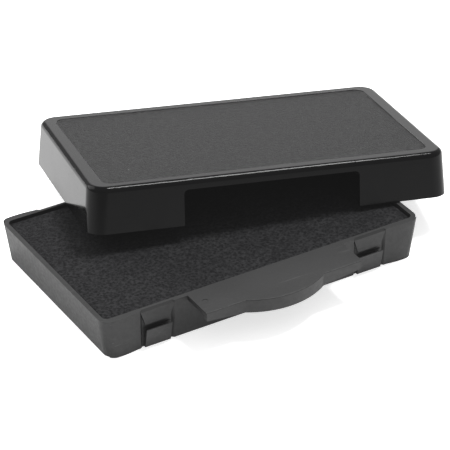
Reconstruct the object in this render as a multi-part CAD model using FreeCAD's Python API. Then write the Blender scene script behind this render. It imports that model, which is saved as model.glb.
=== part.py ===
import FreeCAD, Part

import math
import os

# An ink pad cartridge for a self-inking stamp, with its loose dust cover leaning across it.
# Millimetres. +X runs along the tray, -Y is the side with the finger grip, +Z is up.
# The origin is the middle of the tray's underside.

# ---- tray ----
TRAY_LENGTH = 62.0          # outside, at the rim
TRAY_WIDTH = 36.2           # outside, at the rim
TRAY_HEIGHT = 7.4
END_DRAFT = 1.05            # how far each short wall steps in by the bottom
SIDE_DRAFT = 0.1            # and each long wall
TRAY_CORNER = 1.8           # radius of the upright corners
TRAY_WALL = 0.85
TRAY_FLOOR = 1.0
BOW_RISE = 0.3              # the long walls bow out this much between the catches and the corners
BOW_START = 24.2            # from the tray's middle

# ---- catches: a bay in the wall, a guide plate above and a sprung tongue below ----
BAY_NEAR = 17.5             # the bay's ends, measured from the tray's middle
BAY_FAR = 24.05
BAY_DEPTH = 0.42
BAY_SLOPE = 0.5             # the bay's sides slope in this much over its depth
PLATE_BOTTOM = 4.4          # height of the guide plate's lower edge
PLATE_TAPER = 1.0           # how much each side of the plate draws in by its lower edge
PLATE_CHAMFER = 0.35
TONGUE_WIDTH = 4.8
TONGUE_TOP = 3.75
TONGUE_REACH = 18.75        # outer face of the tongue's tip, from the tray's middle
TONGUE_THICKNESS = 0.32
TONGUE_ROOT = 0.9           # height where the gap behind the tongue ends
TONGUE_FOOT = 18.1          # outer face of the tongue at the bottom
STOP_TOP = 3.6              # top of the low stop that the tongue bends back against
STOP_STAND = 0.17
BAY_FLOOR = TRAY_WIDTH / 2 - BAY_DEPTH      # from the tray's middle

# ---- finger grip ----
GRIP_HALF = 15.1            # half its length
GRIP_REACH = 24.2           # front edge, from the tray's middle
GRIP_THICKNESS = 1.0
SKIRT_HEIGHT = 2.6          # the grip's turned-down front edge, at the bulge
SKIRT_END_HEIGHT = 1.7      # and at the grip's two ends
SKIRT_THICKNESS = 1.0
BULGE_HALF = 7.6            # half the length of the thumb bulge
BULGE_RISE = 2.2            # how far the bulge stands out
GRIP_DRAFT = 0.25
GRIP_EDGE = 0.15            # radius along the grip's top front edge
GATE_MARK = (-13.4, -20.9)  # where the moulding's gate was broken off
GATE_RADIUS = 0.5
GATE_DEPTH = 0.08

# ---- ink foam and felt ----
FOAM_BELOW_RIM = 0.4
FOAM_THICKNESS = 2.4
FIT_GAP = 0.1               # foam and felt to the tray's walls

# ---- dust cover ----
COVER_LENGTH = 64.8         # outside, at its lower rim
COVER_WIDTH = 39.8
COVER_HEIGHT = 8.1
COVER_DRAFT = 0.6           # how far each outer wall steps in by the top
COVER_CORNER = 3.2
COVER_WALL = 0.8
COVER_TOP = 0.9             # thickness of its top
COVER_EDGE = 1.0            # radius round its top edge
NOTCH_HALF = 15.65          # cut-out that clears the finger grip
NOTCH_HEIGHT = 6.3
NOTCH_CORNER = 0.8
PANEL_LENGTH = 58.3         # sunk panel on the cover's top
PANEL_WIDTH = 33.8
PANEL_CORNER = 1.6
PANEL_DEPTH = 0.08

# ---- where the loose cover lies ----
# Its left wall rests on the tray's rear rim, its front wall on the tray's right rim, and its
# rear right corner on the table, each with a hair of clearance.
COVER_PLACE = (13.16, 12.25, 5.275)     # middle of its lower rim
COVER_TURN = -14.27                     # degrees about Z, then Y, then X
COVER_ROLL = 3.2
COVER_PITCH = -10.433


def rounded_rectangle(length, width, radius, z):
    """A closed wire: straight sides and arcs at the corners, centred on Z."""
    x, y = length / 2, width / 2
    cx, cy = x - radius, y - radius
    diagonal = radius * math.sqrt(0.5)

    def point(px, py):
        return FreeCAD.Vector(px, py, z)

    edges = []
    for sx, sy, start_on_side in ((1, 1, True), (-1, 1, False), (-1, -1, True), (1, -1, False)):
        on_end = point(sx * x, sy * cy)
        on_side = point(sx * cx, sy * y)
        middle = point(sx * (cx + diagonal), sy * (cy + diagonal))
        first, last = (on_end, on_side) if start_on_side else (on_side, on_end)
        if edges:
            edges.append(Part.LineSegment(previous, first).toShape())
        else:
            opening = first
        edges.append(Part.Arc(first, middle, last).toShape())
        previous = last
    edges.append(Part.LineSegment(previous, opening).toShape())
    return Part.Wire(edges)


def drafted_block(low, high, radius, z_low, z_high):
    """A block whose rectangle changes evenly from low = (length, width) to high."""
    wires = [rounded_rectangle(*low, radius, z_low), rounded_rectangle(*high, radius, z_high)]
    return Part.makeLoft(wires, True, True)


def extruded(points, direction):
    """The closed polygon through points, pushed along direction."""
    corners = [FreeCAD.Vector(*p) for p in points]
    face = Part.Face(Part.makePolygon(corners + corners[:1]))
    return face.extrude(FreeCAD.Vector(*direction))


def wall_side(z, depth=0.0):
    """Distance from the middle to the long outer wall at height z, less depth."""
    return TRAY_WIDTH / 2 - SIDE_DRAFT * (1 - z / TRAY_HEIGHT) - depth


def bay_cutter():
    """Removes the bay, with its sloping sides, from the rear wall on the +X side."""
    surface = TRAY_WIDTH / 2
    outline = [
        (BAY_NEAR, surface, -1),
        (BAY_NEAR + BAY_SLOPE, BAY_FLOOR, -1),
        (BAY_FAR - BAY_SLOPE, BAY_FLOOR, -1),
        (BAY_FAR, surface, -1),
        (BAY_FAR, surface + 1, -1),
        (BAY_NEAR, surface + 1, -1),
    ]
    return extruded(outline, (0, 0, TRAY_HEIGHT + 2))


def guide_plate():
    """Trapezoid plate above the tongue, flush with the wall, with a lead-in chamfer at the rim."""
    buried = BAY_DEPTH + 0.2
    top = TRAY_HEIGHT
    shoulder = top - PLATE_CHAMFER
    slab = extruded(
        [
            (BAY_NEAR, wall_side(PLATE_BOTTOM, buried), PLATE_BOTTOM),
            (BAY_NEAR, wall_side(PLATE_BOTTOM), PLATE_BOTTOM),
            (BAY_NEAR, wall_side(shoulder), shoulder),
            (BAY_NEAR, wall_side(top, PLATE_CHAMFER), top),
            (BAY_NEAR, wall_side(top, buried), top),
        ],
        (BAY_FAR - BAY_NEAR, 0, 0),
    )
    outline = extruded(
        [
            (BAY_NEAR, 0, top),
            (BAY_FAR, 0, top),
            (BAY_FAR - PLATE_TAPER, 0, PLATE_BOTTOM),
            (BAY_NEAR + PLATE_TAPER, 0, PLATE_BOTTOM),
        ],
        (0, TRAY_WIDTH, 0),
    )
    return slab.common(outline)


def tongue():
    """Sprung tongue, rooted at the bottom and leaning out, with the low stop behind it."""
    start = (BAY_NEAR + BAY_FAR - TONGUE_WIDTH) / 2
    buried = BAY_FLOOR - 0.2
    lean = (TONGUE_REACH - TONGUE_FOOT) / TONGUE_TOP
    root = TONGUE_FOOT + lean * TONGUE_ROOT - TONGUE_THICKNESS
    tip = TONGUE_REACH - TONGUE_THICKNESS
    leaf = extruded(
        [
            (start, buried, 0),
            (start, TONGUE_FOOT, 0),
            (start, TONGUE_REACH, TONGUE_TOP - 0.1),
            (start, TONGUE_REACH - 0.08, TONGUE_TOP),
            (start, tip, TONGUE_TOP - 0.18),
            (start, root, TONGUE_ROOT),
            (start, buried, TONGUE_ROOT),
        ],
        (TONGUE_WIDTH, 0, 0),
    )
    stop = extruded(
        [
            (start, buried, 0),
            (start, BAY_FLOOR + STOP_STAND, 0),
            (start, BAY_FLOOR + STOP_STAND, STOP_TOP),
            (start, buried, STOP_TOP),
        ],
        (TONGUE_WIDTH, 0, 0),
    )
    return leaf.fuse(stop)


def wall_bow():
    """The part of the rear wall that bows out, between the +X catch and the corner."""
    wires = []
    end = TRAY_LENGTH / 2 + 0.5
    for z in (0, TRAY_HEIGHT):
        ends = [FreeCAD.Vector(x, wall_side(z, 0.05), z) for x in (BOW_START, end)]
        middle = FreeCAD.Vector((BOW_START + end) / 2, wall_side(z) + BOW_RISE, z)
        inner = [FreeCAD.Vector(v.x, wall_side(z, 0.4), z) for v in ends]
        edges = [Part.Arc(ends[0], middle, ends[1]).toShape()]
        for a, b in ((ends[1], inner[1]), (inner[1], inner[0]), (inner[0], ends[0])):
            edges.append(Part.LineSegment(a, b).toShape())
        wires.append(Part.Wire(edges))
    lens = Part.makeLoft(wires, True, True)
    return lens.common(tray_block(BOW_RISE))


def grip_outline(reach, half, bulge_half, rise, z):
    """The grip seen from above: straight front with an arc-shaped bulge in the middle."""
    inside = wall_side(TRAY_HEIGHT) - 0.5

    def point(x, y):
        return FreeCAD.Vector(x, -y, z)

    corners = [point(-bulge_half, reach), point(-half, reach), point(-half, inside)]
    corners += [point(half, inside), point(half, reach), point(bulge_half, reach)]
    edges = [Part.LineSegment(a, b).toShape() for a, b in zip(corners, corners[1:])]
    edges.append(Part.Arc(corners[-1], point(0, reach + rise), corners[0]).toShape())
    return Part.Wire(edges)


def grip_block(inset_top, inset_bottom, z_low, z_high):
    """Solid of the grip's outline between two heights, drawn in by an inset at each."""
    wires = []
    for inset, z in ((inset_bottom, z_low), (inset_top, z_high)):
        wires.append(grip_outline(GRIP_REACH - inset, GRIP_HALF - inset, BULGE_HALF, BULGE_RISE, z))
    return Part.makeLoft(wires, True, True)


def finger_grip():
    """Ledge flush with the rim, with a turned-down front edge that follows the bulge."""
    top = TRAY_HEIGHT
    low = top - SKIRT_HEIGHT
    whole = grip_block(0, GRIP_DRAFT, low, top)
    rounded = []
    for edge in whole.Edges:
        at_top = all(abs(v.Z - top) < 1e-6 for v in edge.Vertexes)
        if at_top and all(v.Y < -GRIP_REACH + 0.01 for v in edge.Vertexes):
            rounded.append(edge)
    whole = whole.makeFillet(GRIP_EDGE, rounded)
    hollow = grip_block(SKIRT_THICKNESS, SKIRT_THICKNESS + GRIP_DRAFT, low - 0.01, top - GRIP_THICKNESS)
    behind = Part.makeBox(4 * GRIP_HALF, GRIP_REACH, top)
    behind.translate(FreeCAD.Vector(-2 * GRIP_HALF, SKIRT_THICKNESS - GRIP_REACH, -GRIP_THICKNESS))
    gate = Part.makeCylinder(GATE_RADIUS, 1, FreeCAD.Vector(*GATE_MARK, top - GATE_DEPTH))
    cuts = [hollow, behind, gate]
    for side in (-1, 1):
        # the skirt's lower edge rises from the bulge to each end
        wedge = [
            (side * BULGE_HALF, -2 * GRIP_REACH, low),
            (side * 2 * GRIP_HALF, -2 * GRIP_REACH, low),
            (side * 2 * GRIP_HALF, -2 * GRIP_REACH, skirt_edge(2 * GRIP_HALF)),
        ]
        cuts.append(extruded(wedge, (0, 2 * GRIP_REACH, 0)))
    return whole.cut(cuts)


def skirt_edge(x):
    """Height of the skirt's lower edge at a distance x from the middle, beyond the bulge."""
    rise = (SKIRT_HEIGHT - SKIRT_END_HEIGHT) / (GRIP_HALF - BULGE_HALF)
    return TRAY_HEIGHT - SKIRT_HEIGHT + rise * (x - BULGE_HALF)


def tray_block(extra=0.0):
    """The tray's outside as a solid block, with its long walls moved out by extra."""
    width = TRAY_WIDTH + 2 * extra
    low = (TRAY_LENGTH - 2 * END_DRAFT, width - 2 * SIDE_DRAFT)
    return drafted_block(low, (TRAY_LENGTH, width), TRAY_CORNER, 0, TRAY_HEIGHT)


def tray():
    bays = []
    catches = []
    for mirror_x in (False, True):
        for mirror_y in (False, True):
            pieces = (
                (bay_cutter(), bays),
                (guide_plate(), catches),
                (tongue(), catches),
                (wall_bow(), catches),
            )
            for made, kept in pieces:
                if mirror_x:
                    made = made.mirror(FreeCAD.Vector(0, 0, 0), FreeCAD.Vector(1, 0, 0))
                if mirror_y:
                    made = made.mirror(FreeCAD.Vector(0, 0, 0), FreeCAD.Vector(0, 1, 0))
                kept.append(made)
    body = tray_block().cut(bays).fuse(catches + [finger_grip()])
    return body.cut(tray_cavity(0)).removeSplitter()


def cavity_size(z, gap):
    """Length and width of the tray's inside at height z, less a gap all round."""
    wall = TRAY_WALL + gap
    below = 1 - z / TRAY_HEIGHT
    return TRAY_LENGTH - 2 * (wall + END_DRAFT * below), TRAY_WIDTH - 2 * (wall + SIDE_DRAFT * below)


def tray_cavity(gap, z_low=TRAY_FLOOR, z_high=TRAY_HEIGHT):
    """The space inside the tray between two heights, or a block that fits it with a gap."""
    low, high = cavity_size(z_low, gap), cavity_size(z_high, gap)
    return drafted_block(low, high, TRAY_CORNER - TRAY_WALL, z_low, z_high)


def ink_foam():
    top = TRAY_HEIGHT - FOAM_BELOW_RIM
    return tray_cavity(FIT_GAP, top - FOAM_THICKNESS, top)


def felt_reservoir():
    return tray_cavity(FIT_GAP, TRAY_FLOOR, TRAY_HEIGHT - FOAM_BELOW_RIM - FOAM_THICKNESS)


def dust_cover():
    high = (COVER_LENGTH - 2 * COVER_DRAFT, COVER_WIDTH - 2 * COVER_DRAFT)
    outer = drafted_block((COVER_LENGTH, COVER_WIDTH), high, COVER_CORNER, 0, COVER_HEIGHT)
    top_edges = [e for e in outer.Edges if all(abs(v.Z - COVER_HEIGHT) < 1e-6 for v in e.Vertexes)]
    outer = outer.makeFillet(COVER_EDGE, top_edges)
    ceiling = COVER_HEIGHT - COVER_TOP
    inner_draw = 2 * COVER_DRAFT * ceiling / COVER_HEIGHT
    low = (COVER_LENGTH - 2 * COVER_WALL, COVER_WIDTH - 2 * COVER_WALL)
    high = (low[0] - inner_draw, low[1] - inner_draw)
    inner = drafted_block(low, high, COVER_CORNER - COVER_WALL, 0, ceiling)
    notch = Part.makeBox(2 * NOTCH_HALF, COVER_WIDTH / 4, 2 * NOTCH_HEIGHT)
    notch.translate(FreeCAD.Vector(-NOTCH_HALF, -COVER_WIDTH / 2 - 1, -NOTCH_HEIGHT))
    upper = [e for e in notch.Edges if all(abs(v.Z - NOTCH_HEIGHT) < 1e-6 for v in e.Vertexes)]
    upper = [e for e in upper if abs(e.Vertexes[0].Y - e.Vertexes[1].Y) > 1]
    notch = notch.makeFillet(NOTCH_CORNER, upper)
    panel_wire = rounded_rectangle(PANEL_LENGTH, PANEL_WIDTH, PANEL_CORNER, COVER_HEIGHT - PANEL_DEPTH)
    panel = Part.Face(panel_wire).extrude(FreeCAD.Vector(0, 0, 1))
    cover = outer.cut(inner).cut(notch).cut(panel).removeSplitter()
    cover.Placement = FreeCAD.Placement(
        FreeCAD.Vector(*COVER_PLACE), FreeCAD.Rotation(COVER_TURN, COVER_ROLL, COVER_PITCH)
    )
    return cover


PARTS = {
    "tray": tray,
    "ink_foam": ink_foam,
    "felt_reservoir": felt_reservoir,
    "dust_cover": dust_cover,
}

os.makedirs("parts", exist_ok=True)
for name, make in PARTS.items():
    shape = make()
    solid = shape.Solids[0] if shape.ShapeType != "Solid" and len(shape.Solids) == 1 else shape
    print(name, "solids", len(shape.Solids), "valid", solid.isValid(), "mm3", round(solid.Volume, 1))
    solid.exportStep(f"parts/{name}.step")
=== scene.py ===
import math

import bmesh
import bpy
from mathutils import Matrix, Vector, noise


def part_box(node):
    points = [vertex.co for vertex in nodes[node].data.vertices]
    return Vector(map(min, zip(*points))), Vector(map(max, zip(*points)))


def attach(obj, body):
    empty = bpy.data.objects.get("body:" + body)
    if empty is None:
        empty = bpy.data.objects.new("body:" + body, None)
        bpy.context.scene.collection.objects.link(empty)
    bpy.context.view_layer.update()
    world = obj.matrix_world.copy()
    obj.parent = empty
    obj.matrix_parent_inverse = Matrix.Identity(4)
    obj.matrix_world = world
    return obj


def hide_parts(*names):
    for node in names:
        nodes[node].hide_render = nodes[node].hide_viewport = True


# An ink pad cartridge with its dust cover leaning across it, on a white studio table.
# Everything is in metres; MM turns millimetres into metres.

MM = 0.001

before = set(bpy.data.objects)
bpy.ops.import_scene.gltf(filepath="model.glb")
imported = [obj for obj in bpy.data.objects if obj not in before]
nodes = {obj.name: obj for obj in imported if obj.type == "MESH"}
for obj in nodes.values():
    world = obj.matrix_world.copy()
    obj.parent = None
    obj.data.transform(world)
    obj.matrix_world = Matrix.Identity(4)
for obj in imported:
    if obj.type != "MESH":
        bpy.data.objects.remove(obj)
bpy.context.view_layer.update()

# ---- camera: where it stands, measured from the tray ----
CAMERA_AZIMUTH = math.radians(-31.18)
CAMERA_ELEVATION = math.radians(32.57)
CAMERA_DISTANCE = 7.066         # tray lengths
CAMERA_AIM = (0.1159, 0.1124)   # tray lengths from the tray's middle, on the table
CAMERA_LENS = 199.06            # mm
CAMERA_SENSOR = 36              # mm

VEIL = 0.0075                   # share of white light scattered over the whole picture

# ---- lights: name, place, the point each one faces, width of its square, watts ----
LIGHTS = (
    ("key", (0.21, 0.05, 0.54), (0.01, 0.01, 0), 0.16, 4.2),
    ("back", (0.46, 0.76, 0.17), (0.02, 0.01, 0.01), 0.5, 0.9),
    ("side", (-0.13, 0.2, 0.14), (-0.035, 0.05, 0), 0.2, 0.45),
)
SURROUNDINGS = 0.6              # brightness of the white room
TABLE_GLOW = 0.65               # the table's own light, which keeps it white
TABLE_SIZE = 3.0
TABLE_DROP = 0.02 * MM          # how far the table lies under the tray

# ---- edges ----
TRAY_EDGE = 0.13 * MM           # radius that rounds the tray's moulded edges
COVER_RIM_EDGE = 0.1 * MM
EDGE_SEGMENTS = 3
JOIN_WITHIN = 0.002 * MM        # points this close are one point
FLAT_WITHIN = math.radians(0.5)     # faces that turn less than this are one flat face
SHARP_FROM = math.radians(35)   # edges that turn more than this are rounded

# ---- ink foam ----
FOAM_GRID = 0.22 * MM           # spacing of the foam's surface points
FOAM_CORNER = 0.8 * MM
FOAM_SHOULDER = 0.35 * MM       # how far in from its edge the foam starts to turn down
FOAM_DROP = 0.24 * MM           # how far it turns down
FOAM_ROUGH = 0.075 * MM         # height of its open cells
FOAM_COARSE = 2.3               # coarse cells in a millimetre
FOAM_FINE = 4.7                 # fine cells in a millimetre
FOAM_SHIFT = Vector((9, 4, 2))  # keeps the fine cells' pattern apart from the coarse one
FOAM_SWELL = 0.06 * MM          # how far it swells in soft, broad mounds
FOAM_MOUNDS = 0.09              # mounds in a millimetre
FOAM_RINGS = (0.3, 0.65, 1.0)   # rings of points down its sides, as shares of their height

# ---- dust cover's top ----
PANEL_HALF = (29.15 * MM, 16.9 * MM)
PANEL_CORNER = 1.6 * MM
PANEL_BLUR = 0.03 * MM          # half the width over which its finish fades at its outline
PANEL_REACH = 0.4 * MM          # its finish ends this far below the cover's top
PANEL_FADE = 0.1 * MM           # and fades over this height

# ---- dust cover's axes: the least part of a face's normal that looks each way ----
TOP_FACING = 0.95               # up, on its top
WALL_FACING = 0.98              # sideways, on its walls
FRONT_FACING = 0.9              # towards -Y, on its front wall

tray_low, tray_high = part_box("tray")
tray_length = tray_high.x - tray_low.x


# ---------------------------------------------------------------- shader nodes

def blank(name, roughness):
    """A new material; returns it with its node tree and its shader."""
    made = bpy.data.materials.new(name)
    made.use_nodes = True
    shader = made.node_tree.nodes["Principled BSDF"]
    shader.inputs["Roughness"].default_value = roughness
    return made, made.node_tree, shader


def put(tree, kind, inputs, **settings):
    """Adds a shader node. Each input is a socket to link or a value to set."""
    made = tree.nodes.new("ShaderNode" + kind)
    for name, value in settings.items():
        setattr(made, name, value)
    for name, value in inputs.items():
        if isinstance(value, bpy.types.NodeSocket):
            tree.links.new(value, made.inputs[name])
        else:
            made.inputs[name].default_value = value
    return made


def maths(tree, operation, first, second=0.0, third=0.0):
    made = put(tree, "Math", {0: first, 1: second, 2: third}, operation=operation)
    return made.outputs[0]


def plus(tree, base, extra, share):
    """base with a share of extra added to it."""
    return maths(tree, "MULTIPLY_ADD", extra, share, base)


def remap(tree, value, low, high, to_low, to_high):
    """value taken from low..high to to_low..to_high, and held at the ends."""
    inputs = {"Value": value, "From Min": low, "From Max": high, "To Min": to_low, "To Max": to_high}
    return put(tree, "MapRange", inputs).outputs["Result"]


def object_place(tree):
    return put(tree, "TexCoord", {}).outputs["Object"]


def stretched(tree, place, scale, turn=0.0):
    inputs = {"Vector": place, "Scale": scale, "Rotation": (0, 0, turn)}
    return put(tree, "Mapping", inputs).outputs["Vector"]


def cloud(tree, place, scale, detail=3.0, rough=0.55):
    """Soft noise from 0 to 1; scale is in lumps per metre."""
    inputs = {"Vector": place, "Scale": scale, "Detail": detail, "Roughness": rough}
    return put(tree, "TexNoise", inputs).outputs["Fac"]


def blend_colours(tree, amount, first, second):
    made = put(tree, "Mix", {"Factor": amount}, data_type="RGBA")
    for socket, value in ((made.inputs[6], first), (made.inputs[7], second)):
        if isinstance(value, bpy.types.NodeSocket):
            tree.links.new(value, socket)
        else:
            socket.default_value = (*value, 1)
    return made.outputs[2]


def relief(tree, height, distance, strength=1.0, under=None):
    """A bump of the given height in metres, laid over the one under it."""
    inputs = {"Height": height, "Distance": distance, "Strength": strength}
    if under is not None:
        inputs["Normal"] = under
    return put(tree, "Bump", inputs).outputs["Normal"]


def connect(tree, shader, **sockets):
    names = {"colour": "Base Color", "roughness": "Roughness", "normal": "Normal"}
    for name, socket in sockets.items():
        tree.links.new(socket, shader.inputs[names[name]])


def scratches(tree, place, turn, across=2600.0, along=55.0, cover=0.68):
    """Sparse fine lines, 1 on a line and 0 elsewhere."""
    lines = cloud(tree, stretched(tree, place, (along, across, across), turn), 1.0, 2.0)
    patches = cloud(tree, place, 140.0, 1.0)
    picked = remap(tree, lines, cover, cover + 0.05, 0.0, 1.0)
    return maths(tree, "MULTIPLY", picked, remap(tree, patches, 0.45, 0.6, 0.0, 1.0))


def specks(tree, place, cells, radius, share):
    """Round dust specks: one cell in each 1/share holds one; 1 on a speck."""
    found = put(tree, "TexVoronoi", {"Vector": place, "Scale": cells}, feature="F1")
    close = remap(tree, found.outputs["Distance"], radius * cells * 0.4, radius * cells, 1.0, 0.0)
    chance = put(tree, "SeparateColor", {0: found.outputs["Color"]}).outputs[0]
    chosen = maths(tree, "LESS_THAN", chance, share)
    return maths(tree, "MULTIPLY", close, chosen)


# ---------------------------------------------------------------- materials

def tray_plastic():
    """Satin black moulding: fine spark grain, flow marks, handling scratches and a little dust."""
    made, tree, shader = blank("tray_plastic", 0.55)
    shader.inputs["IOR"].default_value = 1.42
    place = object_place(tree)
    flow = cloud(tree, stretched(tree, place, (60, 110, 160)), 1.0, 3.0, 0.5)
    grain = cloud(tree, place, 5200.0, 2.0)
    fine = cloud(tree, place, 1500.0, 3.0, 0.65)
    marks = scratches(tree, place, 0.5)
    marks = maths(tree, "MAXIMUM", marks, scratches(tree, place, -0.9, 2100.0, 70.0))
    dust = specks(tree, place, 260.0, 0.09 * MM, 0.12)
    streaks = remap(tree, flow, 0.35, 0.65, 0.0, 1.0)
    base = blend_colours(tree, streaks, (0.004, 0.004, 0.0042), (0.009, 0.009, 0.0092))
    worn = blend_colours(tree, maths(tree, "MULTIPLY", marks, 0.5), base, (0.07, 0.07, 0.07))
    colour = blend_colours(tree, maths(tree, "MULTIPLY", dust, 0.5), worn, (0.16, 0.16, 0.155))
    satin = remap(tree, fine, 0.3, 0.7, 0.44, 0.58)
    satin = plus(tree, satin, flow, 0.08)
    satin = plus(tree, satin, marks, 0.15)
    normal = relief(tree, flow, 0.05 * MM, 0.5)
    normal = relief(tree, fine, 0.012 * MM, 0.5, normal)
    normal = relief(tree, grain, 0.006 * MM, 0.6, normal)
    normal = relief(tree, marks, 0.01 * MM, 0.5, normal)
    connect(tree, shader, colour=colour, roughness=satin, normal=normal)
    return made


def cover_plastic(axes, middle, half_height):
    """Gloss black sides and border; the panel sunk in the top has a fine matt grain.

    axes, middle and half_height are the cover's own, as cover_frame() finds them.
    """
    made, tree, shader = blank("cover_plastic", 0.12)
    shader.inputs["IOR"].default_value = 1.165
    rotation = Matrix(axes).transposed().to_euler()
    inputs = {"Vector": object_place(tree), "Location": middle, "Rotation": rotation}
    place = put(tree, "Mapping", inputs, vector_type="TEXTURE").outputs["Vector"]
    parts = put(tree, "SeparateXYZ", {0: place})
    panel = rounded_mask(tree, parts, PANEL_HALF, PANEL_CORNER)
    level = half_height - PANEL_REACH
    high = remap(tree, parts.outputs["Z"], level, level + PANEL_FADE, 0.0, 1.0)
    panel = maths(tree, "MULTIPLY", panel, high)

    sink = cloud(tree, place, 90.0, 2.0, 0.45)
    smudge = cloud(tree, place, 260.0, 4.0, 0.6)
    grain = cloud(tree, place, 2600.0, 4.0, 0.65)
    mottle = cloud(tree, place, 1300.0, 2.0, 0.5)
    pits = cloud(tree, place, 7000.0, 2.0, 0.6)
    marks = scratches(tree, place, 0.15, 3000.0, 40.0, 0.69)
    dust = specks(tree, place, 170.0, 0.16 * MM, 0.22)

    smooth = blend_colours(tree, smudge, (0.0015, 0.0015, 0.0016), (0.003, 0.003, 0.0032))
    mixed = plus(tree, maths(tree, "MULTIPLY", grain, 0.8), mottle, 0.2)
    # painted light and shade on the panel's grain: lighter on the peaks the bump raises, darker in its
    # pits, with some random mottle
    painted_light_on_raised = remap(tree, mixed, 0.4, 0.6, 0.0, 1.0)
    matt = blend_colours(tree, painted_light_on_raised, (0.003, 0.003, 0.0032), (0.025, 0.025, 0.0253))
    colour = blend_colours(tree, panel, smooth, matt)
    colour = blend_colours(tree, maths(tree, "MULTIPLY", dust, 0.55), colour, (0.2, 0.2, 0.195))
    gloss = remap(tree, smudge, 0.35, 0.7, 0.08, 0.17)
    gloss = plus(tree, gloss, marks, 0.2)
    matt_finish = remap(tree, grain, 0.35, 0.65, 0.46, 0.58)
    finish = put(tree, "Mix", {"Factor": panel, 2: gloss, 3: matt_finish}).outputs[0]
    normal = relief(tree, sink, 0.03 * MM, 0.4)
    normal = relief(tree, marks, 0.006 * MM, 0.4, normal)
    pitted = maths(tree, "MULTIPLY", plus(tree, grain, pits, 0.5), panel)
    normal = relief(tree, pitted, 0.1 * MM, 1.0, normal)
    connect(tree, shader, colour=colour, roughness=finish, normal=normal)
    return made


def rounded_mask(tree, parts, half, corner):
    """1 inside a rectangle with rounded corners about the cover's middle, 0 outside."""
    reach = []
    for axis, size in zip("XY", half):
        past = maths(tree, "SUBTRACT", maths(tree, "ABSOLUTE", parts.outputs[axis]), size - corner)
        reach.append(maths(tree, "MAXIMUM", past, 0.0))
    square = maths(tree, "ADD", maths(tree, "POWER", reach[0], 2.0), maths(tree, "POWER", reach[1], 2.0))
    distance = maths(tree, "SQRT", square)
    return remap(tree, distance, corner - PANEL_BLUR, corner + PANEL_BLUR, 1.0, 0.0)


def foam_material():
    """Black open-cell foam, wet with ink: painted shade darkens the sunken cells, painted light pales
    the raised cell walls, and soaked patches are darker.
    """
    made, tree, shader = blank("ink_foam", 0.85)
    shader.inputs["IOR"].default_value = 1.2
    place = object_place(tree)
    cells = put(tree, "TexVoronoi", {"Vector": place, "Scale": 2000.0}, feature="F1").outputs["Distance"]
    walls = cloud(tree, place, 1900.0, 4.0, 0.72)
    fine = cloud(tree, place, 6500.0, 2.0, 0.6)
    soak = cloud(tree, place, 130.0, 3.0, 0.5)
    mixed = plus(tree, maths(tree, "MULTIPLY", walls, 0.75), cells, 0.35)
    # painted light and shade: lighter where the bump pattern rises, darker down in the open cells
    painted_light_on_raised = remap(tree, mixed, 0.43, 0.7, 0.0, 1.0)
    # dry and wet tones both carry the painted cell shade; the soak between them is a real stain
    dry = blend_colours(tree, painted_light_on_raised, (0.002, 0.002, 0.0025), (0.0185, 0.0185, 0.0195))
    wet = blend_colours(tree, painted_light_on_raised, (0.0015, 0.0015, 0.002), (0.0145, 0.0145, 0.0155))
    colour = blend_colours(tree, remap(tree, soak, 0.4, 0.6, 0.0, 1.0), dry, wet)
    finish = remap(tree, fine, 0.35, 0.65, 0.6, 0.95)
    normal = relief(tree, mixed, 0.12 * MM, 0.9)
    normal = relief(tree, fine, 0.03 * MM, 0.6, normal)
    connect(tree, shader, colour=colour, roughness=finish, normal=normal)
    return made


def felt_material():
    """Black ink-soaked felt: short crossed fibres, with painted light on the raised fibres and painted
    shade between them.
    """
    made, tree, shader = blank("felt", 0.9)
    place = object_place(tree)
    one_way = cloud(tree, stretched(tree, place, (700, 5200, 5200), 0.6), 1.0, 3.0, 0.7)
    other_way = cloud(tree, stretched(tree, place, (5000, 800, 5000), -0.3), 1.0, 3.0, 0.7)
    fibres = maths(tree, "MAXIMUM", one_way, other_way)
    # painted light on the raised fibres and painted shade between them
    painted_light_on_raised = remap(tree, fibres, 0.45, 0.7, 0.0, 1.0)
    colour = blend_colours(tree, painted_light_on_raised, (0.01, 0.01, 0.011), (0.03, 0.03, 0.032))
    connect(tree, shader, colour=colour, normal=relief(tree, fibres, 0.12 * MM, 0.8))
    return made


def table_material():
    made, tree, shader = blank("table", 0.7)
    shader.inputs["Base Color"].default_value = (0.86, 0.86, 0.86, 1)
    shader.inputs["Specular IOR Level"].default_value = 0.2
    shader.inputs["Emission Color"].default_value = (1, 1, 1, 1)
    shader.inputs["Emission Strength"].default_value = TABLE_GLOW
    return made


# ---------------------------------------------------------------- CAD nodes

def dress(node, finish):
    mesh = nodes[node].data
    mesh.materials.clear()
    mesh.materials.append(finish)


def round_edges(node, width):
    """Rounds a CAD node's sharp edges with modifiers, over joined and cleaned-up faces."""
    piece = nodes[node]
    weld = piece.modifiers.new("join", "WELD")
    weld.merge_threshold = JOIN_WITHIN
    flat = piece.modifiers.new("flats", "DECIMATE")
    flat.decimate_type = "DISSOLVE"
    flat.angle_limit = FLAT_WITHIN
    bevel = piece.modifiers.new("edges", "BEVEL")
    bevel.width = width
    bevel.segments = EDGE_SEGMENTS
    bevel.limit_method = "ANGLE"
    bevel.angle_limit = SHARP_FROM
    bevel.use_clamp_overlap = True
    even = piece.modifiers.new("shading", "WEIGHTED_NORMAL")
    even.weight = 100


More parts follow.
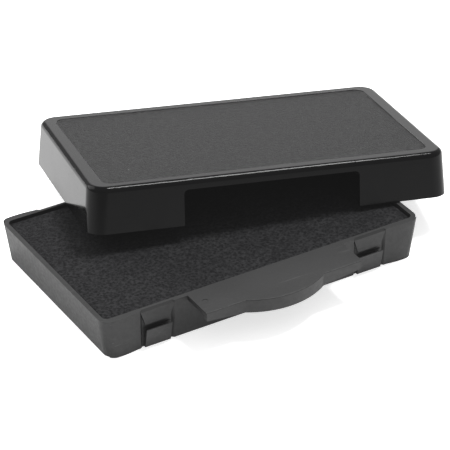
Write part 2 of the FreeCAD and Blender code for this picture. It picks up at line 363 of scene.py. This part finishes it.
def cover_frame():
    """The cover's own axes, its middle and half its height, found from the way its faces look."""
    mesh = nodes["dust_cover"].data
    upward = Vector((0, 0, 0))
    for face in mesh.polygons:
        if face.normal.z > TOP_FACING:
            upward += face.normal * face.area
    upward.normalize()
    front = Vector((0, 0, 0))
    for face in mesh.polygons:
        level = face.normal - upward * face.normal.dot(upward)
        if level.length > WALL_FACING and level.y < -FRONT_FACING:
            front += level * face.area
    depth = -front.normalized()
    along = depth.cross(upward).normalized()
    depth = upward.cross(along)
    axes = [along, depth, upward]
    spans = []
    for axis in axes:
        reach = [axis.dot(v.co) for v in mesh.vertices]
        spans.append((min(reach), max(reach)))
    middle = Vector((0, 0, 0))
    for axis, (low, high) in zip(axes, spans):
        middle += axis * (low + high) / 2
    return axes, middle, (spans[2][1] - spans[2][0]) / 2


# ---------------------------------------------------------------- ink foam

def foam_height(x, y, edge):
    """Height of the foam's surface above its level: open cells, a soft swell, a turned-down edge."""
    spot = Vector((x, y, 0)) / MM
    coarse = noise.noise(spot * FOAM_COARSE)
    fine = noise.noise(spot * FOAM_FINE + FOAM_SHIFT)
    cells = 0.55 * coarse + 0.45 * fine
    swell = 0.5 * noise.noise(spot * FOAM_MOUNDS) + 0.5
    turn = max(0.0, 1 - edge / FOAM_SHOULDER)
    return FOAM_ROUGH * cells + FOAM_SWELL * swell - FOAM_DROP * turn * turn


def foam_pad(low, high):
    """A closed slab of foam with a rough, slightly full top, in the space of its CAD solid."""
    middle = (low + high) / 2
    half_x, half_y = (high.x - low.x) / 2, (high.y - low.y) / 2
    columns = round(2 * half_x / FOAM_GRID)
    rows = round(2 * half_y / FOAM_GRID)
    level = high.z - FOAM_SWELL - 0.4 * FOAM_ROUGH
    made = bmesh.new()
    grid = []
    for row in range(rows + 1):
        y = half_y * (2 * row / rows - 1)
        past = max(0.0, abs(y) - (half_y - FOAM_CORNER))
        width = half_x - FOAM_CORNER + math.sqrt(max(0.0, FOAM_CORNER ** 2 - past ** 2))
        line = []
        for column in range(columns + 1):
            x = width * (2 * column / columns - 1)
            edge = min(width - abs(x), half_y - abs(y))
            z = level + foam_height(x, y, edge)
            line.append(made.verts.new((middle.x + x, middle.y + y, z)))
        grid.append(line)
    for row in range(rows):
        for column in range(columns):
            here, behind = grid[row], grid[row + 1]
            corners = (here[column], here[column + 1], behind[column + 1], behind[column])
            made.faces.new(corners)
    right_side = [line[-1] for line in grid[1:-1]]
    left_side = [line[0] for line in grid[-2:0:-1]]
    around = grid[0] + right_side + grid[-1][::-1] + left_side
    rings = [around]
    for share in FOAM_RINGS:
        z = level - FOAM_DROP + (low.z - level + FOAM_DROP) * share
        rings.append([made.verts.new((v.co.x, v.co.y, z)) for v in around])
    for upper, lower in zip(rings, rings[1:]):
        for index in range(len(around)):
            after = (index + 1) % len(around)
            made.faces.new((upper[index], lower[index], lower[after], upper[after]))
    made.faces.new(rings[-1])
    bmesh.ops.recalc_face_normals(made, faces=made.faces)
    for face in made.faces:
        face.smooth = True
    mesh = bpy.data.meshes.new("foam_pad")
    made.to_mesh(mesh)
    made.free()
    piece = bpy.data.objects.new("foam_pad", mesh)
    bpy.context.scene.collection.objects.link(piece)
    return piece


# ---------------------------------------------------------------- studio

def camera():
    azimuth, elevation = CAMERA_AZIMUTH, CAMERA_ELEVATION
    back = Vector((
        math.sin(azimuth) * math.cos(elevation),
        -math.cos(azimuth) * math.cos(elevation),
        math.sin(elevation),
    ))
    data = bpy.data.cameras.new("camera")
    data.lens = CAMERA_LENS
    data.sensor_width = CAMERA_SENSOR
    data.clip_start = 0.01
    made = bpy.data.objects.new("camera", data)
    bpy.context.scene.collection.objects.link(made)
    aim = Vector((*CAMERA_AIM, 0)) * tray_length
    made.location = aim + back * CAMERA_DISTANCE * tray_length
    made.rotation_euler = (-back).to_track_quat("-Z", "Y").to_euler()
    bpy.context.scene.camera = made


def table():
    bpy.ops.mesh.primitive_plane_add(size=TABLE_SIZE, location=(0, 0, -TABLE_DROP))
    made = bpy.context.object
    made.name = "table"
    made.data.materials.append(table_material())


def soft_light(name, place, aim, size, watts):
    light = bpy.data.lights.new(name, "AREA")
    light.size = size
    light.energy = watts
    made = bpy.data.objects.new(name, light)
    bpy.context.scene.collection.objects.link(made)
    made.location = place
    made.rotation_euler = (Vector(aim) - Vector(place)).to_track_quat("-Z", "Y").to_euler()


def surroundings(strength):
    world = bpy.data.worlds.new("studio")
    world.use_nodes = True
    backdrop = world.node_tree.nodes["Background"]
    backdrop.inputs["Color"].default_value = (1, 1, 1, 1)
    backdrop.inputs["Strength"].default_value = strength
    bpy.context.scene.world = world


def developing():
    """Plain tones, with the slight veil that a white table throws over the blacks."""
    view = bpy.context.scene.view_settings
    view.view_transform = "Standard"
    view.use_curve_mapping = True
    view.curve_mapping.black_level = (-VEIL, -VEIL, -VEIL)
    view.curve_mapping.update()


camera()
table()
for light in LIGHTS:
    soft_light(*light)
surroundings(SURROUNDINGS)
developing()

dress("tray", tray_plastic())
dress("dust_cover", cover_plastic(*cover_frame()))
dress("felt_reservoir", felt_material())
foam = foam_material()
dress("ink_foam", foam)
round_edges("tray", TRAY_EDGE)
round_edges("dust_cover", COVER_RIM_EDGE)

pad = foam_pad(*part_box("ink_foam"))
pad.data.materials.append(foam)
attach(pad, "tray")
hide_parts("ink_foam")
